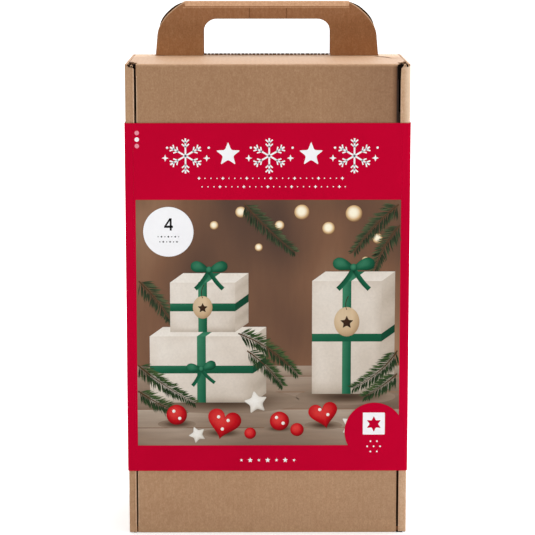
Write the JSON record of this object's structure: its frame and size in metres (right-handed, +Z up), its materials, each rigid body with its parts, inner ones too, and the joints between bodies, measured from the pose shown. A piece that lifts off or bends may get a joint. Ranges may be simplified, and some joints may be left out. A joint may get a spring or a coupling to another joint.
{
  "type": "felt advent calendar",
  "caption": "Standing card box with a carry handle, a red paper band, a front lid with a closing flap, and a felting kit inside.",
  "frame": {"origin": "middle of the footprint, on the surface that the box stands on", "axes": "+X to the right seen from the front, +Y to the back, +Z up"},
  "size_m": [0.1914, 0.1014, 0.36],
  "materials": {
    "kraft_board": "plain brown corrugated card, matt",
    "handle_board": "plain brown corrugated card, in shade",
    "red_paper": "printed paper, smooth, slight sheen",
    "foam": "dense open-cell foam",
    "cotton": "plain unbleached cotton",
    "leaflet_paper": "folded white paper",
    "red_wool": "carded wool, loose fibre",
    "white_wool": "carded wool, loose fibre",
    "disc_wood": "thin slices of branch with bark",
    "spool_card": "pressed card",
    "green_ribbon": "satin ribbon",
    "clear_plastic": "clear moulded plastic",
    "red_plastic": "moulded plastic",
    "needle_steel": "bright wire"
  },
  "bodies": {
    "tray": {"back_panel": "kraft_board", "bottom_wall": "kraft_board", "top_wall": "kraft_board", "left_wall_outer": "kraft_board", "left_wall_fold": "kraft_board", "left_wall_inner": "kraft_board", "top_tab_left": "kraft_board", "bottom_tab_left": "kraft_board", "right_wall_outer": "kraft_board", "right_wall_fold": "kraft_board", "right_wall_inner": "kraft_board", "top_tab_right": "kraft_board", "bottom_tab_right": "kraft_board", "handle_back": "handle_board", "handle_front": "handle_board", "handle_top": "handle_board", "band_wrap": "red_paper", "felting_pad": "foam", "gift_bag_1": "cotton", "gift_bag_2": "cotton", "gift_bag_3": "cotton", "gift_bag_4": "cotton", "instruction_leaflet": "leaflet_paper", "red_wool": "red_wool", "white_wool": "white_wool", "number_disc_1": "disc_wood", "number_disc_2": "disc_wood", "number_disc_3": "disc_wood", "number_disc_4": "disc_wood", "spool_core": "spool_card", "green_ribbon": "green_ribbon", "needle_tube": "clear_plastic", "felting_needle_1": "needle_steel", "felting_needle_2": "needle_steel", "felting_needle_3": "needle_steel"},
    "lid": {"lid_panel": "kraft_board", "band_front": "red_paper"},
    "flap": {"lid_flap": "kraft_board"},
    "ear_left": {"lid_ear_left": "kraft_board"},
    "ear_right": {"lid_ear_right": "kraft_board"},
    "needle_cap": {"needle_tube_cap": "red_plastic"}
  },
  "joints": [
    {"name": "lid_hinge", "type": "hinge", "parent": "tray", "child": "lid", "pos_m": [0, -0.04925, 0.00075], "axis": [1, 0, 0], "range_deg": [0, 89.8]},
    {"name": "flap_hinge", "type": "hinge", "parent": "lid", "child": "flap", "pos_m": [0, -0.04925, 0.32125], "axis": [1, 0, 0], "range_deg": [0, 90]},
    {"name": "ear_left_hinge", "type": "hinge", "parent": "lid", "child": "ear_left", "pos_m": [-0.087, -0.0482, 0.161], "axis": [0, 0, -1], "range_deg": [0, 80]},
    {"name": "ear_right_hinge", "type": "hinge", "parent": "lid", "child": "ear_right", "pos_m": [0.087, -0.0482, 0.161], "axis": [0, 0, 1], "range_deg": [0, 80]},
    {"name": "needle_cap_slide", "type": "slide", "parent": "tray", "child": "needle_cap", "axis": [0, 0, 1], "range_m": [0, 0.03]}
  ]
}
